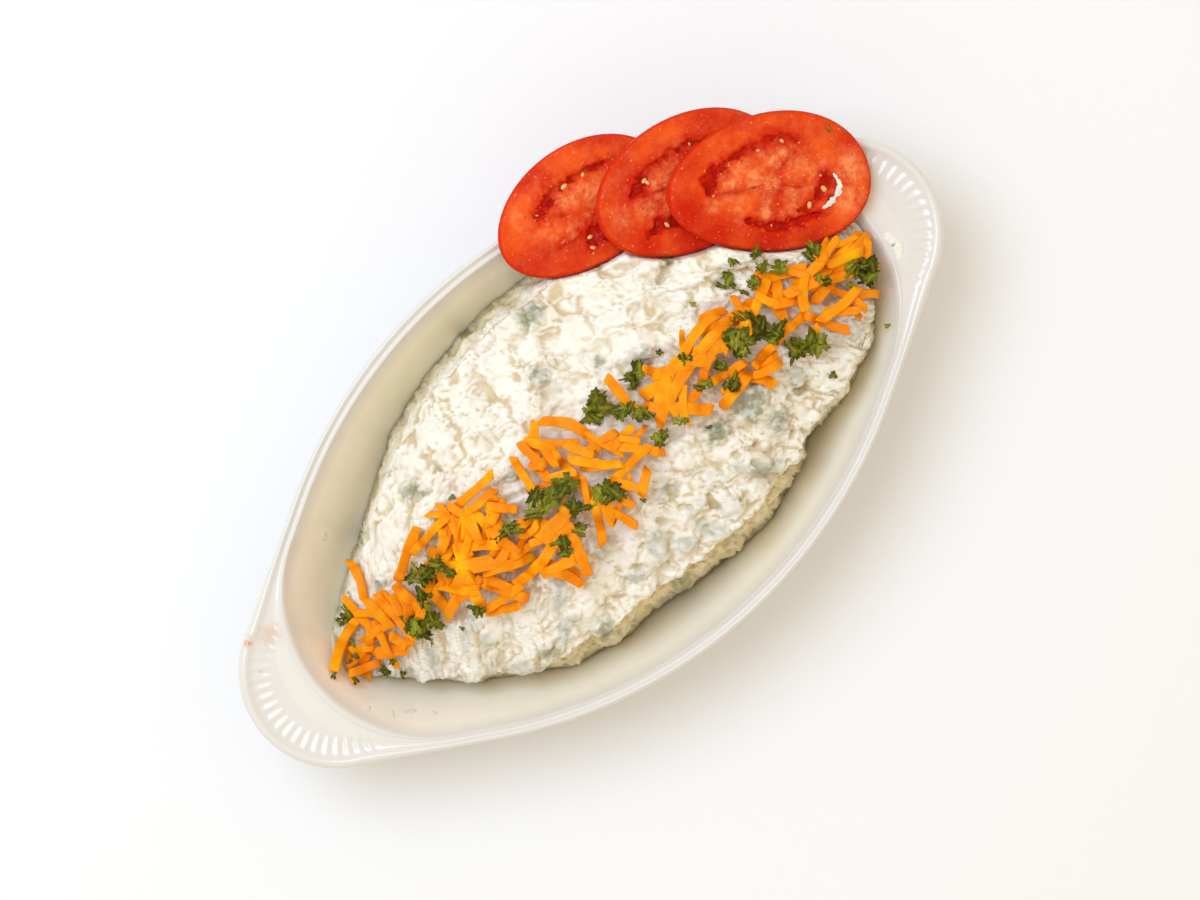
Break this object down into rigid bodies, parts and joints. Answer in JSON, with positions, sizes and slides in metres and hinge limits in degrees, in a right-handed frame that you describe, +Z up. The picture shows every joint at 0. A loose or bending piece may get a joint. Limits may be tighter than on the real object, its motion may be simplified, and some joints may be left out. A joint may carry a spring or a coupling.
{
  "type": "bowl of eggplant dip",
  "caption": "Oval serving dish with two tab handles, filled with creamy eggplant dip, garnished with grated carrot, parsley and tomato slices",
  "frame": {"origin": "middle of the flat foot that the dish stands on", "axes": "+X along the dish towards the end with the tomato slices, +Y towards the side that they hang over, +Z up"},
  "size_m": [0.248, 0.1372, 0.0552],
  "materials": {
    "glazed_dish": "gloss off-white glaze",
    "creamy_dip": "moist creamy white, lumpy",
    "carrot_and_parsley": "moist orange shreds and green leaves",
    "tomato": "wet red flesh with a glossy skin"
  },
  "bodies": {
    "root": {"dish": "glazed_dish", "dip": "creamy_dip", "garnish": "carrot_and_parsley", "tomato_slice_1": "tomato", "tomato_slice_2": "tomato", "tomato_slice_3": "tomato"}
  },
  "joints": []
}
